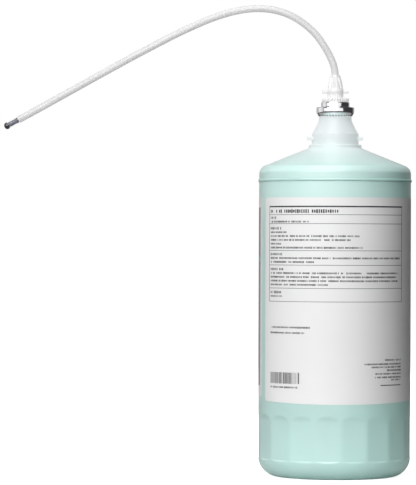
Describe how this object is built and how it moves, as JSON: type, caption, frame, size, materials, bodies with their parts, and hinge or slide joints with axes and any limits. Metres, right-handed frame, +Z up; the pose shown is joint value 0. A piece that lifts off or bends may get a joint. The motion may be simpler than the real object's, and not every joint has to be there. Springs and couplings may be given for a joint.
{
  "type": "hand soap refill pack",
  "caption": "Round see-through bottle of lotion soap with a cone shoulder, bayonet neck, crimped pump and a long arched delivery tube ending in a black tip.",
  "frame": {"origin": "centre of the bottle's foot, on the surface it stands on", "axes": "+Z up the bottle's axis; -Y out of the middle of the directions side; -X towards the delivery tube's tip"},
  "size_m": [0.2748, 0.1032, 0.3166],
  "materials": {
    "bottle_plastic": "satin blow-moulded milky polyethylene",
    "teal_soap": "pearly lotion soap",
    "label_film": "smooth white label stock",
    "ferrule_metal": "bright drawn sheet",
    "steel_wire": "stainless steel",
    "white_plastic": "moulded white plastic",
    "seal_rubber": "matte black seal",
    "clear_tubing": "see-through polyethylene tubing",
    "tip_plastic": "glossy black"
  },
  "bodies": {
    "bottle_group": {"bottle": "bottle_plastic", "soap_fill": "teal_soap", "directions_label": "label_film", "front_label": "label_film", "crimp_ferrule": "ferrule_metal", "neck_gasket": "seal_rubber", "pump_housing": "white_plastic", "pump_collar": "white_plastic", "main_spring": "steel_wire", "inlet_ball": "steel_wire", "dip_tube": "clear_tubing"},
    "plunger": {"stem": "white_plastic", "piston": "white_plastic", "outlet_ball": "steel_wire"},
    "head": {"nozzle_head": "white_plastic", "delivery_tube": "clear_tubing", "outlet_tip": "tip_plastic"}
  },
  "joints": [
    {"name": "pump_stroke", "type": "slide", "parent": "bottle_group", "child": "plunger", "axis": [0, 0, -1], "range_m": [0, 0.0027], "stiffness_N_per_m": 900, "springref_m": -0.004, "deforming": ["main_spring"]},
    {"name": "head_swivel", "type": "hinge", "parent": "plunger", "child": "head", "pos_m": [0, 0, 0.258], "axis": [0, 0, 1], "continuous": true}
  ]
}
